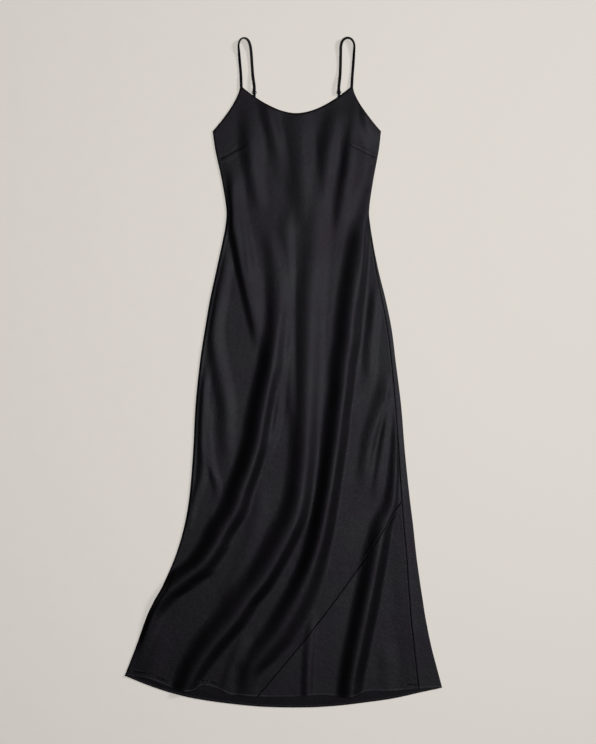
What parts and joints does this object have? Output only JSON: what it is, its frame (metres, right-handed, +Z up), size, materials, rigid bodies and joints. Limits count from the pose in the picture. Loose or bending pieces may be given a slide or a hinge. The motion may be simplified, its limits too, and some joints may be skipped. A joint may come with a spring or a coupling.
{
  "type": "slip dress",
  "caption": "Maxi slip dress in black satin laid flat, scooped front, bias gore at the lower right, thin straps standing off the neckline as loops.",
  "frame": {"origin": "middle of the laid dress on the surface it rests on", "axes": "+Y from the hem towards the straps, +X to the right of the dress as it lies front up, +Z up out of the front"},
  "size_m": [0.6872, 1.4506, 0.0144],
  "materials": {
    "front_panel": "black satin with a broad soft sheen",
    "front_gore": "black satin with a broad soft sheen",
    "back_panel": "black satin with a broad soft sheen",
    "strap_left": "black satin with a broad soft sheen",
    "strap_right": "black satin with a broad soft sheen",
    "tab_left": "black satin with a broad soft sheen",
    "tab_right": "black satin with a broad soft sheen",
    "ring_left": "black enamel on wire, soft shine",
    "ring_right": "black enamel on wire, soft shine"
  },
  "bodies": {
    "root": {"front_panel": "front_panel", "front_gore": "front_gore", "back_panel": "back_panel", "strap_left": "strap_left", "strap_right": "strap_right", "tab_left": "tab_left", "tab_right": "tab_right", "ring_left": "ring_left", "ring_right": "ring_right"}
  },
  "joints": []
}
